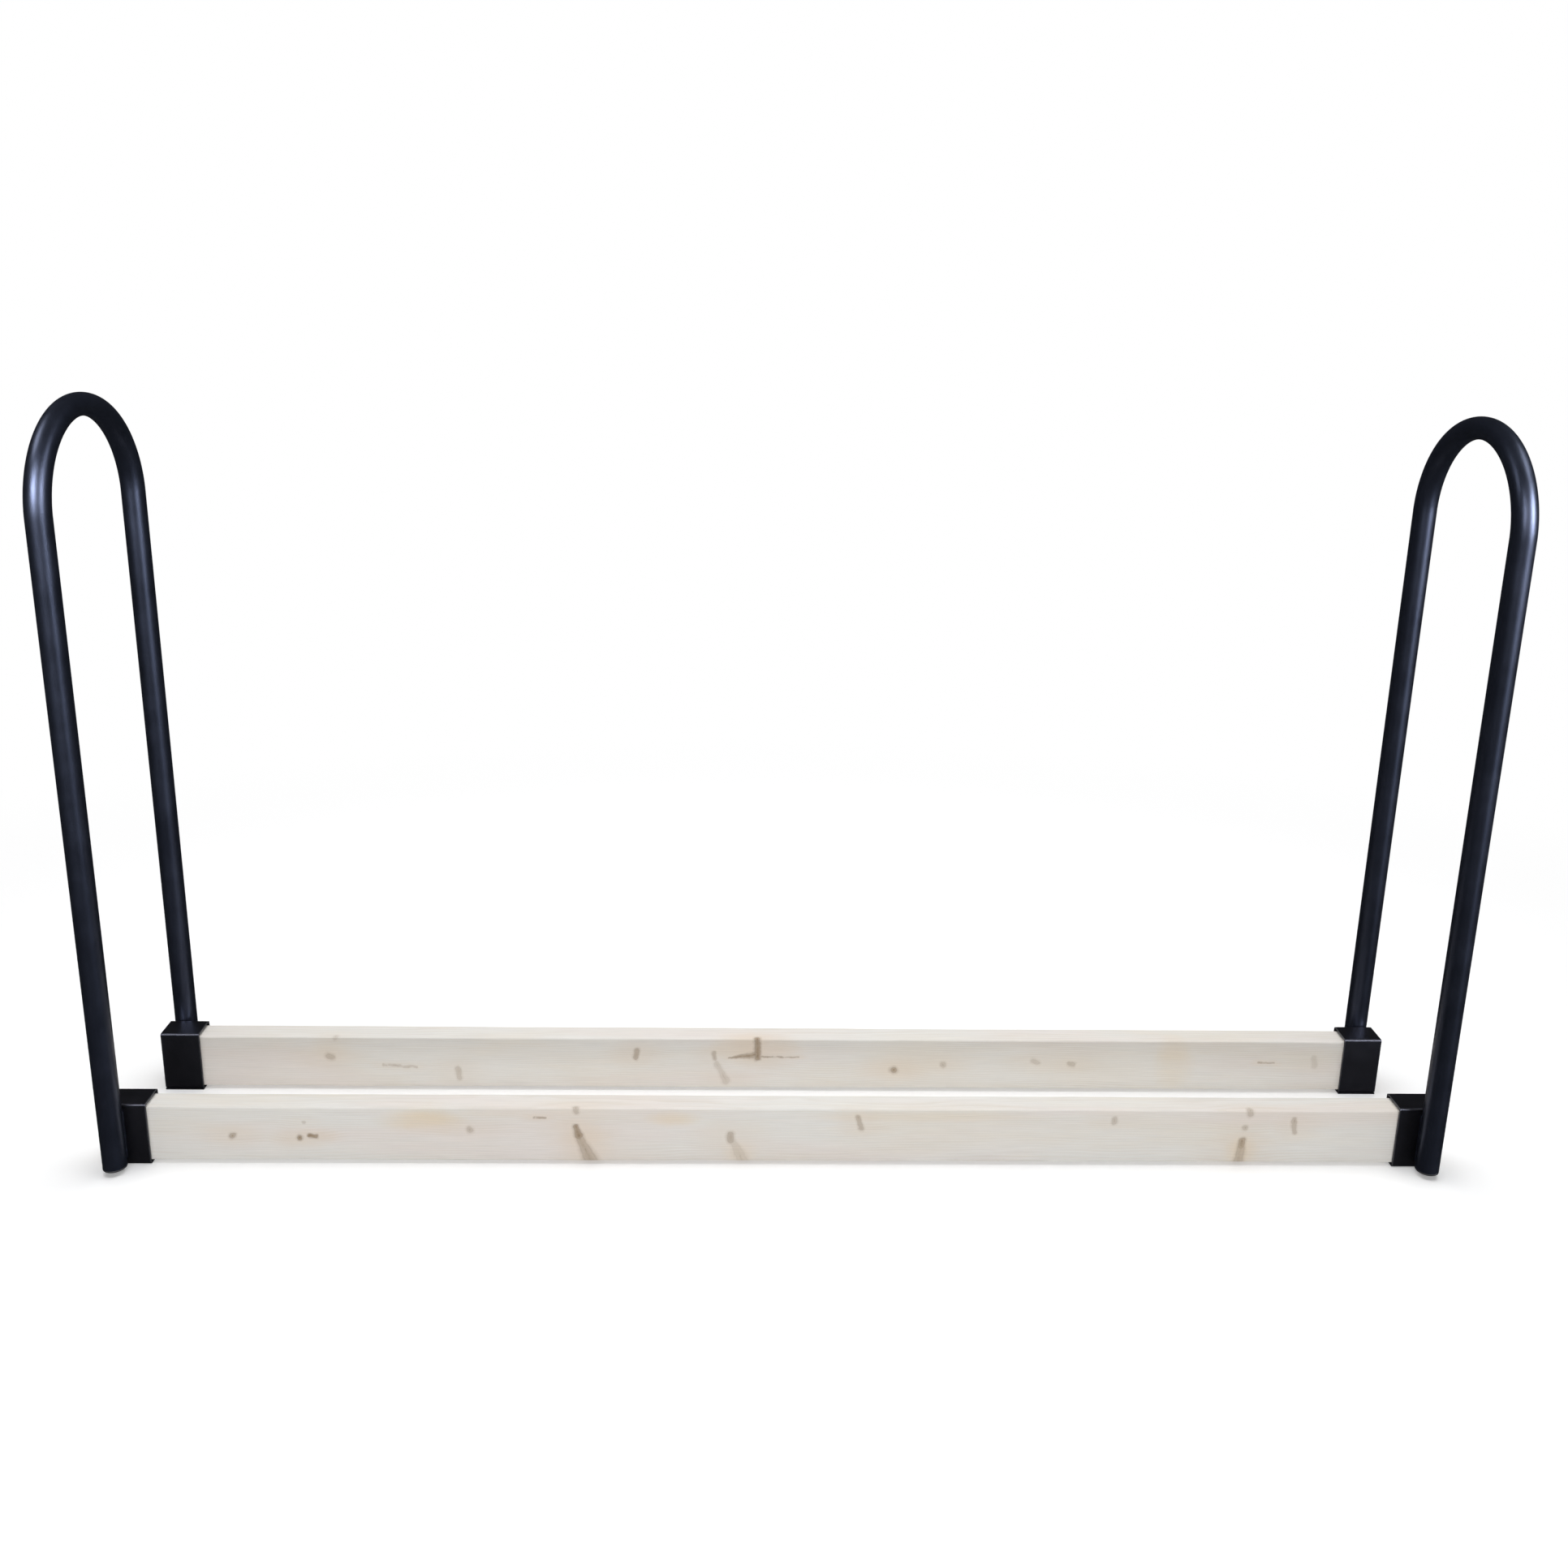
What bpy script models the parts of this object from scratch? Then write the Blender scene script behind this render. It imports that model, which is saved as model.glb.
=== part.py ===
"""Firewood log rack: two bent steel uprights whose welded sockets hold a pair of 2x4 rails.

The rack stands on z = 0, with its length along X and its front towards -Y. Sizes are in metres.
"""

import math

import bmesh
import bpy

# Rails: planed nominal 2x4 lumber, standing on edge.
RAIL_THICKNESS = 0.038
RAIL_HEIGHT = 0.089
RAIL_EDGE_RADIUS = 0.003
RAIL_SPACING = 0.200  # between the two rails' centre planes
CLEAR_SPAN = 1.870  # rail left bare between the left and the right sockets
RAIL_END_INSET = 0.0035  # from the socket's outer end to the rail's end

# Sockets: sleeves folded from sheet, with the sheet lapped double under the rail.
SHEET = 0.0025
SOCKET_LENGTH = 0.0615
SIDE_PLAY = 0.0006  # on each side of the rail
TOP_PLAY = 0.0035  # above the rail
FOLD_RADIUS = 0.0034  # outside radius of the sheet's folds

# Uprights: round tube bent into an inverted U, one leg in front of each front socket and one
# behind each rear socket.
TUBE_RADIUS = 0.01685
TUBE_WALL = 0.0015
CROWN_Z = 1.1068  # the tube's centreline at the top of the bend
TUBE_SIDES = 24
BEND_STEPS = 20

# Foot caps: plastic inserts that close the tube's cut ends, clear of the ground.
CAP_BOTTOM_Z = 0.008
CAP_HEAD = 0.0025
CAP_STEM = 0.018
CAP_STEM_WALL = 0.0016
CAP_RIB_DEPTH = 0.0008
CAP_RIBS = 3
RIB_TOP_SHARE = 0.3  # plain stem above each rib, its upper slope and both slopes, per rib pitch
RIB_CREST_SHARE = 0.3
RIB_SLOPES_SHARE = 0.6
CAP_EDGE = 0.0007

# Countersunk wood screws, driven up through the socket's floor into the rail.
SCREW_LENGTH = 0.030
SCREW_SHANK_RADIUS = 0.0021
SCREW_HEAD_RADIUS = 0.0040
SCREW_HEAD_HEIGHT = 0.0022
SCREW_HEAD_EDGE = 0.0004
SCREW_TIP = 0.005
SCREW_RECESS = 0.0003  # the head's face above the socket's underside
SCREW_INSETS = (0.016, 0.042)  # from the socket's inner end
DRIVE_ROOT_WIDTH = 0.0013
DRIVE_TIP_WIDTH = 0.0008
DRIVE_SPAN = 0.0046
DRIVE_DEPTH = 0.0014
SCREW_SIDES = 16

# Fillet welds along both sides of each leg's line of contact with its socket.
WELD_BOTTOM_Z = 0.011
WELD_TOP_Z = 0.091
WELD_START_ANGLE = math.radians(17)  # round the tube, from the line of contact
WELD_END_ANGLE = math.radians(37)
WELD_TOE = 0.0120  # from the line of contact, along the socket's face
WELD_CROWN = 0.0007  # how far the bead's face bulges
WELD_ARC_STEPS = 4

GAP = 0.0003  # between pieces that touch
OVERCUT = 0.004  # how far a cutter reaches out of the piece
CORNER_STEPS = 4
MERGE_DISTANCE = 1e-6  # points closer than this are one point
SMOOTH_ANGLE = math.radians(35)  # edges sharper than this stay sharp

# Worked out from the sizes above.
RAIL_BOTTOM_Z = 2 * SHEET + GAP
RAIL_Y = RAIL_SPACING / 2
SOCKET_THICKNESS = RAIL_THICKNESS + 2 * (SIDE_PLAY + SHEET)
SOCKET_HEIGHT = RAIL_BOTTOM_Z + RAIL_HEIGHT + TOP_PLAY + SHEET
SOCKET_INNER_X = CLEAR_SPAN / 2
SOCKET_OUTER_X = SOCKET_INNER_X + SOCKET_LENGTH
RAIL_LENGTH = 2 * (SOCKET_OUTER_X - RAIL_END_INSET)
SOCKET_FACE_Y = RAIL_Y + SOCKET_THICKNESS / 2
LEG_X = SOCKET_OUTER_X - TUBE_RADIUS
LEG_Y = SOCKET_FACE_Y + GAP + TUBE_RADIUS
FOOT_Z = CAP_BOTTOM_Z + CAP_HEAD + GAP

SIDES = (("left", -1), ("right", 1))
ENDS = (("front", -1), ("rear", 1))


def clear_scene():
    for obj in list(bpy.data.objects):
        bpy.data.objects.remove(obj, do_unlink=True)


def new_collection(name):
    collection = bpy.data.collections.new(name)
    bpy.context.scene.collection.children.link(collection)
    return collection


def material(name, colour, roughness, metallic=0.0):
    made = bpy.data.materials.new(name)
    made.use_nodes = True
    shader = made.node_tree.nodes["Principled BSDF"]
    shader.inputs["Base Color"].default_value = (*colour, 1.0)
    shader.inputs["Roughness"].default_value = roughness
    shader.inputs["Metallic"].default_value = metallic
    return made


def solid_mesh(obj):
    """The object's evaluated shape as a welded mesh with its faces pointing out."""
    graph = bpy.context.evaluated_depsgraph_get()
    mesh = bpy.data.meshes.new_from_object(obj.evaluated_get(graph))
    shape = bmesh.new()
    shape.from_mesh(mesh)
    bmesh.ops.remove_doubles(shape, verts=shape.verts, dist=MERGE_DISTANCE)
    bmesh.ops.recalc_face_normals(shape, faces=shape.faces)
    shape.to_mesh(mesh)
    shape.free()
    mesh.shade_smooth()
    mesh.set_sharp_from_angle(angle=SMOOTH_ANGLE)
    return mesh


def mesh_from(helper):
    """The helper object's solid mesh; the helper is removed."""
    bpy.context.view_layer.update()
    mesh = solid_mesh(helper)
    bpy.data.objects.remove(helper, do_unlink=True)
    return mesh


def linked(name, data, collection=None):
    obj = bpy.data.objects.new(name, data)
    (collection or bpy.context.scene.collection).objects.link(obj)
    return obj


def poly_spline(curve, points, cyclic):
    spline = curve.splines.new("POLY")
    spline.points.add(len(points) - 1)
    for slot, point in zip(spline.points, points):
        slot.co = (*point, *(0.0,) * (3 - len(point)), 1.0)
    spline.use_cyclic_u = cyclic


def prism_mesh(outlines, depth):
    """Flat outlines (the later ones are holes in the first) in XY, extruded by depth along Z."""
    curve = bpy.data.curves.new("outline", "CURVE")
    curve.dimensions = "2D"
    curve.fill_mode = "BOTH"
    curve.extrude = depth / 2
    for outline in outlines:
        poly_spline(curve, outline, cyclic=True)
    return mesh_from(linked("outline", curve))


def turned_mesh(profile, steps):
    """A profile of (radius, z) points, listed from the top down the outer side, turned about Z."""
    mesh = bpy.data.meshes.new("profile")
    mesh.from_pydata(
        [(radius, 0.0, z) for radius, z in profile],
        [(i, i + 1) for i in range(len(profile) - 1)],
        [],
    )
    helper = linked("profile", mesh)
    screw = helper.modifiers.new("turn", "SCREW")
    screw.steps = screw.render_steps = steps
    screw.use_merge_vertices = True
    screw.merge_threshold = 10 * MERGE_DISTANCE
    return mesh_from(helper)


def pipe_mesh(points, radius, wall, sides):
    """A hollow tube along the points, open at both ends."""
    curve = bpy.data.curves.new("centreline", "CURVE")
    curve.dimensions = "3D"
    curve.twist_mode = "MINIMUM"
    curve.bevel_depth = radius
    curve.bevel_resolution = (sides - 4) // 2
    curve.use_fill_caps = False
    poly_spline(curve, points, cyclic=False)
    helper = linked("centreline", curve)
    shell = helper.modifiers.new("wall", "SOLIDIFY")
    shell.thickness = wall
    shell.offset = -1.0
    return mesh_from(helper)


def rounded_rectangle(width, height, radius, centre_y=0.0):
    points = []
    for quarter in range(4):
        sign_x = 1 if quarter in (0, 3) else -1
        sign_y = 1 if quarter in (0, 1) else -1
        for step in range(CORNER_STEPS + 1):
            angle = math.radians(90) * (quarter + step / CORNER_STEPS)
            points.append(
                (
                    sign_x * (width / 2 - radius) + radius * math.cos(angle),
                    centre_y + sign_y * (height / 2 - radius) + radius * math.sin(angle),
                )
            )
    return points


def add_part(name, mesh, finish, location=(0.0, 0.0, 0.0), rotation=(0.0, 0.0, 0.0)):
    obj = linked(name, mesh, parts)
    if not mesh.materials:
        mesh.materials.append(finish)
    obj.location = location
    obj.rotation_euler = rotation
    obj.parent = rack
    return obj


def add_cutter(name, mesh, location):
    obj = linked(name, mesh, cutters)
    obj.location = location
    obj.hide_render = True
    obj.display_type = "WIRE"
    return obj


def cut(obj, cutter):
    hole = obj.modifiers.new("cut_" + cutter.name, "BOOLEAN")
    hole.operation = "DIFFERENCE"
    hole.solver = "EXACT"
    hole.object = cutter


# A prism's outline in XY stands up in the YZ plane, with its depth along X.
ALONG_X = (math.radians(90), 0.0, math.radians(90))


def rail_mesh():
    outline = rounded_rectangle(RAIL_THICKNESS, RAIL_HEIGHT, RAIL_EDGE_RADIUS)
    return prism_mesh([outline], RAIL_LENGTH)


def socket_mesh():
    """The sleeve, its outline centred on the rail's width and standing on y = 0."""
    inner_height = SOCKET_HEIGHT - 3 * SHEET
    outer = rounded_rectangle(
        SOCKET_THICKNESS, SOCKET_HEIGHT, FOLD_RADIUS, SOCKET_HEIGHT / 2
    )
    inner = rounded_rectangle(
        SOCKET_THICKNESS - 2 * SHEET,
        inner_height,
        FOLD_RADIUS - SHEET,
        2 * SHEET + inner_height / 2,
    )
    return prism_mesh([outer, inner], SOCKET_LENGTH)


def upright_mesh():
    """The inverted U in the YZ plane, its feet at FOOT_Z."""
    bend_z = CROWN_Z - LEG_Y
    points = [(0.0, -LEG_Y, FOOT_Z)]
    for step in range(BEND_STEPS + 1):
        angle = math.pi * (1 - step / BEND_STEPS)
        points.append((0.0, LEG_Y * math.cos(angle), bend_z + LEG_Y * math.sin(angle)))
    points.append((0.0, LEG_Y, FOOT_Z))
    return pipe_mesh(points, TUBE_RADIUS, TUBE_WALL, TUBE_SIDES)


def cap_mesh():
    """A flat head with a hollow ribbed stem, its underside at z = 0."""
    stem = TUBE_RADIUS - TUBE_WALL - GAP
    core = stem - CAP_RIB_DEPTH
    hollow = core - CAP_STEM_WALL
    top = CAP_HEAD + CAP_STEM
    pitch = CAP_STEM / (CAP_RIBS + 0.5)
    profile = [(0.0, CAP_HEAD), (hollow, CAP_HEAD), (hollow, top), (core, top)]
    for rib in range(CAP_RIBS):
        rib_top = top - (rib + RIB_TOP_SHARE) * pitch
        profile += [
            (core, rib_top),
            (stem, rib_top - RIB_CREST_SHARE * pitch),
            (core, rib_top - RIB_SLOPES_SHARE * pitch),
        ]
    profile += [
        (core, CAP_HEAD),
        (TUBE_RADIUS - CAP_EDGE, CAP_HEAD),
        (TUBE_RADIUS, CAP_HEAD - CAP_EDGE),
        (TUBE_RADIUS, CAP_EDGE),
        (TUBE_RADIUS - CAP_EDGE, 0.0),
        (0.0, 0.0),
    ]
    return turned_mesh(profile, TUBE_SIDES)


def screw_profile(clearance=0.0, overcut=0.0):
    """From the tip down to the head's face at z = 0, or a hole's cutter with some clearance."""
    shank = SCREW_SHANK_RADIUS + clearance
    head = SCREW_HEAD_RADIUS + clearance
    edge = SCREW_HEAD_EDGE + clearance
    return [
        (0.0, SCREW_LENGTH + clearance),
        (shank, SCREW_LENGTH - SCREW_TIP + clearance),
        (shank, SCREW_HEAD_HEIGHT + clearance),
        (head, edge),
        (head, -overcut),
        (0.0, -overcut),
    ]


def cross_outline(root, tip, span):
    """A cross whose four arms narrow from the root's width to the tip's."""
    points = []
    for arm in range(4):
        angle = math.radians(90) * arm
        for along, across in ((root, -root), (span, -tip), (span, tip)):
            x, y = along / 2, across / 2
            points.append(
                (
                    x * math.cos(angle) - y * math.sin(angle),
                    x * math.sin(angle) + y * math.cos(angle),
                )
            )
    return points


def screw_mesh():
    """A countersunk wood screw, tip up, with a cross recess in its head."""
    blank = linked("screw_blank", turned_mesh(screw_profile(), SCREW_SIDES), cutters)
    cross = cross_outline(DRIVE_ROOT_WIDTH, DRIVE_TIP_WIDTH, DRIVE_SPAN)
    recess = add_cutter("screw_drive", prism_mesh([cross], 2 * DRIVE_DEPTH), (0.0, 0.0, 0.0))
    cut(blank, recess)
    mesh = mesh_from(blank)
    bpy.data.objects.remove(recess, do_unlink=True)
    return mesh


def weld_outline(side):
    """The bead's section beside the line of contact, which is the origin; the tube is at -Y."""
    radius = TUBE_RADIUS + GAP
    centre = -GAP - TUBE_RADIUS
    points = []
    for step in range(WELD_ARC_STEPS + 1):
        share = step / WELD_ARC_STEPS
        angle = WELD_START_ANGLE + share * (WELD_END_ANGLE - WELD_START_ANGLE)
        points.append((radius * math.sin(angle), centre + radius * math.cos(angle)))
    last_x, last_y = points[-1]
    points.append(((last_x + WELD_TOE) / 2 + WELD_CROWN, (last_y - GAP) / 2 - WELD_CROWN))
    points.append((WELD_TOE, -GAP))
    points.append((points[0][0], -GAP))
    return [(side * x, y) for x, y in points]


clear_scene()
parts = new_collection("firewood_log_rack")
cutters = new_collection("cutters")
rack = linked("rack_origin", None, parts)

powder_coat = material("black_powder_coat", (0.020, 0.022, 0.028), 0.45)
lumber = material("planed_spruce", (0.80, 0.76, 0.69), 0.65)
plastic = material("black_plastic", (0.030, 0.030, 0.033), 0.55)
screw_steel = material("black_oxide_screw", (0.055, 0.055, 0.060), 0.40, metallic=1.0)

# Screws and the holes that take them.
screw = screw_mesh()
screw_hole = turned_mesh(screw_profile(GAP, OVERCUT), SCREW_SIDES)
screw_holes = {end: [] for end, _ in ENDS}
for side, side_sign in SIDES:
    for end, end_sign in ENDS:
        for number, inset in enumerate(SCREW_INSETS, start=1):
            name = f"{side}_{end}_screw_{number}"
            place = (side_sign * (SOCKET_INNER_X + inset), end_sign * RAIL_Y, SCREW_RECESS)
            add_part(name, screw, screw_steel, place)
            screw_holes[end].append((side, add_cutter(name + "_hole", screw_hole, place)))

# Rails.
rail = rail_mesh()
for end, end_sign in ENDS:
    place = (0.0, end_sign * RAIL_Y, RAIL_BOTTOM_Z + RAIL_HEIGHT / 2)
    board = add_part(f"{end}_rail", rail, lumber, place, ALONG_X)
    for _, hole in screw_holes[end]:
        cut(board, hole)

# Sockets, uprights, foot caps and welds.
socket = socket_mesh()
upright = upright_mesh()
cap = cap_mesh()
welds = {side: prism_mesh([weld_outline(side)], WELD_TOP_Z - WELD_BOTTOM_Z) for side in (-1, 1)}
for side, side_sign in SIDES:
    add_part(f"{side}_upright_tube", upright, powder_coat, (side_sign * LEG_X, 0.0, 0.0))
    for end, end_sign in ENDS:
        corner = f"{side}_{end}"
        sleeve = add_part(
            f"{corner}_socket",
            socket,
            powder_coat,
            (side_sign * (SOCKET_INNER_X + SOCKET_LENGTH / 2), end_sign * RAIL_Y, 0.0),
            ALONG_X,
        )
        for hole_side, hole in screw_holes[end]:
            if hole_side == side:
                cut(sleeve, hole)
        add_part(
            f"{corner}_foot_cap",
            cap,
            plastic,
            (side_sign * LEG_X, end_sign * LEG_Y, CAP_BOTTOM_Z),
        )
        # A half turn carries the front weld to the rear, and swaps its inner and outer sides.
        half_turn = (0.0, 0.0, math.pi if end == "rear" else 0.0)
        for place_name, outward in (("inner", -1), ("outer", 1)):
            bead_side = -end_sign * side_sign * outward
            add_part(
                f"{corner}_{place_name}_weld",
                welds[bead_side],
                powder_coat,
                (
                    side_sign * LEG_X,
                    end_sign * SOCKET_FACE_Y,
                    (WELD_BOTTOM_Z + WELD_TOP_Z) / 2,
                ),
                half_turn,
            )
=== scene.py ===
"""Looks of the firewood log rack: black powder-coated steel, pale spruce rails, a white studio."""

import math

import bmesh
import bpy
from mathutils import Matrix, Vector


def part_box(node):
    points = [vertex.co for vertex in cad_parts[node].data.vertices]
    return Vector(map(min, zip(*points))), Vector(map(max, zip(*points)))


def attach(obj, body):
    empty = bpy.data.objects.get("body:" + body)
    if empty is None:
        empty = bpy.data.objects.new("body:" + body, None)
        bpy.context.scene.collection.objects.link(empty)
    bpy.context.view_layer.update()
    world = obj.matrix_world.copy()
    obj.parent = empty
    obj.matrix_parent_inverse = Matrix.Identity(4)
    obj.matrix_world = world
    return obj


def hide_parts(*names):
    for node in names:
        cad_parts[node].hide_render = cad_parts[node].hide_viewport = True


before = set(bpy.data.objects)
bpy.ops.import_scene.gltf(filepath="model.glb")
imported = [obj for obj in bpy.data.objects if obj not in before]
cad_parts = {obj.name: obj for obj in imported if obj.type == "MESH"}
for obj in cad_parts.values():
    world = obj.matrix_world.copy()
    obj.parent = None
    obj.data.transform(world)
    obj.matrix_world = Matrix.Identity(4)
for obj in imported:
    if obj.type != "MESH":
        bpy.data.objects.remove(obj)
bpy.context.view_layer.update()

SIDES = (("left", -1), ("right", 1))
ENDS = ("front", "rear")
UP = Vector((0.0, 0.0, 1.0))


# ---------------------------------------------------------------- node trees

class Nodes:
    """Adds nodes to one tree, each returning the output that the next one takes."""

    def __init__(self, tree):
        self.tree = tree

    def add(self, kind, inputs=(), **settings):
        node = self.tree.nodes.new(kind)
        for name, value in settings.items():
            setattr(node, name, value)
        for socket, value in dict(inputs).items():
            self.feed(node.inputs[socket], value)
        return node

    def feed(self, socket, value):
        if isinstance(value, bpy.types.NodeSocket):
            self.tree.links.new(value, socket)
        elif value is not None:
            socket.default_value = value

    def math(self, operation, first, second=None, third=None, clamp=False):
        node = self.add("ShaderNodeMath", operation=operation, use_clamp=clamp)
        for socket, value in zip(node.inputs, (first, second, third)):
            self.feed(socket, value)
        return node.outputs[0]

    def vector(self, operation, first, second=None):
        node = self.add("ShaderNodeVectorMath", operation=operation)
        for socket, value in zip(node.inputs, (first, second)):
            self.feed(socket, value)
        return node.outputs["Value" if operation in ("DOT_PRODUCT", "LENGTH") else "Vector"]

    def scaled(self, vector, factor):
        node = self.add("ShaderNodeVectorMath", {"Scale": factor}, operation="SCALE")
        self.feed(node.inputs[0], vector)
        return node.outputs["Vector"]

    def split(self, vector):
        return self.add("ShaderNodeSeparateXYZ", {0: vector}).outputs

    def join(self, x, y, z):
        return self.add("ShaderNodeCombineXYZ", {0: x, 1: y, 2: z}).outputs[0]

    def noise(self, vector, scale, detail=2.0, roughness=0.5, distortion=0.0):
        node = self.add(
            "ShaderNodeTexNoise",
            {
                "Vector": vector,
                "Scale": scale,
                "Detail": detail,
                "Roughness": roughness,
                "Distortion": distortion,
            },
        )
        return node.outputs["Fac"]

    def stretched(self, vector, stretch, detail=2.0, roughness=0.5, distortion=0.0):
        """Noise with its own number of features per metre along each of X, Y and Z."""
        counted = self.vector("MULTIPLY", vector, stretch)
        return self.noise(counted, 1.0, detail, roughness, distortion)

    def spread(self, value, low, high, out_low=0.0, out_high=1.0, smooth=True):
        """Maps the value from low..high to out_low..out_high."""
        easing = "SMOOTHSTEP" if smooth else "LINEAR"
        node = self.add("ShaderNodeMapRange", interpolation_type=easing)
        for socket, number in zip(node.inputs, (value, low, high, out_low, out_high)):
            self.feed(socket, number)
        return node.outputs[0]

    def blend(self, factor, first, second, mode="MIX"):
        node = self.add("ShaderNodeMix", data_type="RGBA", blend_type=mode)
        self.feed(node.inputs["Factor"], factor)
        self.feed(node.inputs["A"], rgba(first))
        self.feed(node.inputs["B"], rgba(second))
        return node.outputs["Result"]

    def shaded(self, colour, factor):
        """The colour times a grey factor."""
        return self.blend(1.0, colour, self.join(factor, factor, factor), "MULTIPLY")

    def relief(self, *layers):
        """A bumped normal from (height, metres) layers, added up in one node to keep it small."""
        total = 0.0
        for height, metres in layers:
            total = self.math("MULTIPLY_ADD", height, metres, total)
        return self.add("ShaderNodeBump", {"Height": total, "Distance": 1.0}).outputs[0]


def rgba(colour):
    return (*colour, 1.0) if isinstance(colour, tuple) and len(colour) == 3 else colour


def new_material(name):
    """(material, its Nodes, its Principled shader, the object's own coordinates)."""
    material = bpy.data.materials.new(name)
    material.use_nodes = True
    nodes = Nodes(material.node_tree)
    shader = material.node_tree.nodes["Principled BSDF"]
    position = nodes.add("ShaderNodeTexCoord").outputs["Object"]
    return material, nodes, shader, position


def dress(nodes, shader, **sockets):
    for name, value in sockets.items():
        nodes.feed(shader.inputs[name.replace("_", " ")], value)


# Below, a noise is (features per metre, detail, roughness), a stretched noise is ((features per
# metre along X, Y and Z), detail, roughness), and a range is the two noise values that it turns
# into none and all.
MIDDLE = (0.3, 0.7)


# ---------------------------------------------------------------- powder coat

COAT_DARK = (0.0032, 0.0040, 0.0066)
COAT_LIGHT = (0.0062, 0.0074, 0.0118)
# The lighter edge colour: partly rubbed wear, partly a painted highlight along the socket edges.
COAT_WORN_AND_SHEEN = (0.085, 0.086, 0.090)
COAT_DUST = (0.050, 0.050, 0.050)
COAT_GLOSS_TINT = (0.60, 0.68, 1.0)
SOCKET_DARK = (0.0030, 0.0028, 0.0034)
SOCKET_LIGHT = (0.0056, 0.0053, 0.0062)
SOCKET_GLOSS_TINT = (0.62, 0.62, 0.76)
COAT_SPECULAR = 0.90
COAT_CLOUD = (24.0, 3.0, 0.6)
COAT_PEEL = (620.0, 1.0)
COAT_PEEL_HEIGHT = 0.00012
COAT_GRIT = (2600.0, 2.0)
COAT_GRIT_HEIGHT = 0.00004
COAT_ROUGHNESS = (0.28, 0.36)
COAT_GRIT_ROUGHNESS = 0.08
DUST_SPECKS = (1400.0, 3.0, 0.7)
DUST_SPECK_RANGE = (0.66, 0.78)
DUST_AREAS = (11.0, 4.0)
DUST_AREA_RANGE = (0.45, 0.70)
DUST_SHARE = 0.35
# The mask of lighter edges: partly rubbed wear, partly a painted edge highlight.
WEAR_AND_SHEEN_RAGGED = (260.0, 4.0, 0.7)
WEAR_AND_SHEEN_RAGGED_SIZE = 0.0026
WEAR_AND_SHEEN_REACH = (0.0013, 0.0032)
WEAR_AND_SHEEN_SHARE = 0.75
WEAR_POLISH = 0.08


def powder_coat(name, dark, light, gloss_tint, wear_and_sheen=None):
    """Satin black powder coat with a fine orange peel; the optional edge mask lightens edges,
    partly as rubbed wear and partly as a painted edge highlight.
    """
    material, nodes, shader, position = new_material(name)
    cloud = nodes.noise(position, *COAT_CLOUD)
    peel = nodes.noise(position, *COAT_PEEL)
    grit = nodes.noise(position, *COAT_GRIT)
    colour = nodes.blend(cloud, dark, light)
    specks = nodes.spread(nodes.noise(position, *DUST_SPECKS), *DUST_SPECK_RANGE)
    areas = nodes.spread(nodes.noise(position, *DUST_AREAS), *DUST_AREA_RANGE)
    dusting = nodes.math("MULTIPLY", nodes.math("MULTIPLY", specks, areas), DUST_SHARE)
    colour = nodes.blend(dusting, colour, COAT_DUST)
    roughness = nodes.spread(cloud, *MIDDLE, *COAT_ROUGHNESS, smooth=False)
    roughness = nodes.math("ADD", roughness, nodes.math("MULTIPLY", grit, COAT_GRIT_ROUGHNESS))
    # Edges lightened partly as rubbed wear and partly as a painted edge highlight.
    if wear_and_sheen:
        rubbed_and_sheen = wear_and_sheen(nodes, position)
        colour = nodes.blend(rubbed_and_sheen, colour, COAT_WORN_AND_SHEEN)
        roughness = nodes.math("SUBTRACT", roughness, nodes.math("MULTIPLY", rubbed_and_sheen, WEAR_POLISH))
    normal = nodes.relief((grit, COAT_GRIT_HEIGHT), (peel, COAT_PEEL_HEIGHT))
    dress(nodes, shader, Base_Color=colour, Roughness=roughness, Normal=normal)
    shader.inputs["Specular IOR Level"].default_value = COAT_SPECULAR
    shader.inputs["Specular Tint"].default_value = (*gloss_tint, 1.0)
    return material


def box_edge_wear_and_sheen(low, high):
    """A mask maker: lighter along the edges of a box that repeats, mirrored, at each of the rack's
    four corners, partly as rubbed wear and partly as a painted edge highlight."""

    def mask(nodes, position):
        gaps = []
        for axis, coordinate in enumerate(nodes.split(position)):
            mirrored = nodes.math("ABSOLUTE", coordinate) if axis < 2 else coordinate
            gaps.append(
                nodes.math(
                    "MINIMUM",
                    nodes.math("ABSOLUTE", nodes.math("SUBTRACT", mirrored, low[axis])),
                    nodes.math("ABSOLUTE", nodes.math("SUBTRACT", high[axis], mirrored)),
                )
            )
        # An edge is near where the second smallest of the three gaps is small.
        a, b, c = gaps
        second = nodes.math(
            "MAXIMUM",
            nodes.math("MINIMUM", a, b),
            nodes.math("MINIMUM", nodes.math("MAXIMUM", a, b), c),
        )
        ragged = nodes.math("MULTIPLY", nodes.noise(position, *WEAR_AND_SHEEN_RAGGED), WEAR_AND_SHEEN_RAGGED_SIZE)
        near = nodes.spread(nodes.math("ADD", second, ragged), *WEAR_AND_SHEEN_REACH, 1.0, 0.0)
        return nodes.math("MULTIPLY", near, WEAR_AND_SHEEN_SHARE)

    return mask


# ---------------------------------------------------------------- spruce

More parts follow.
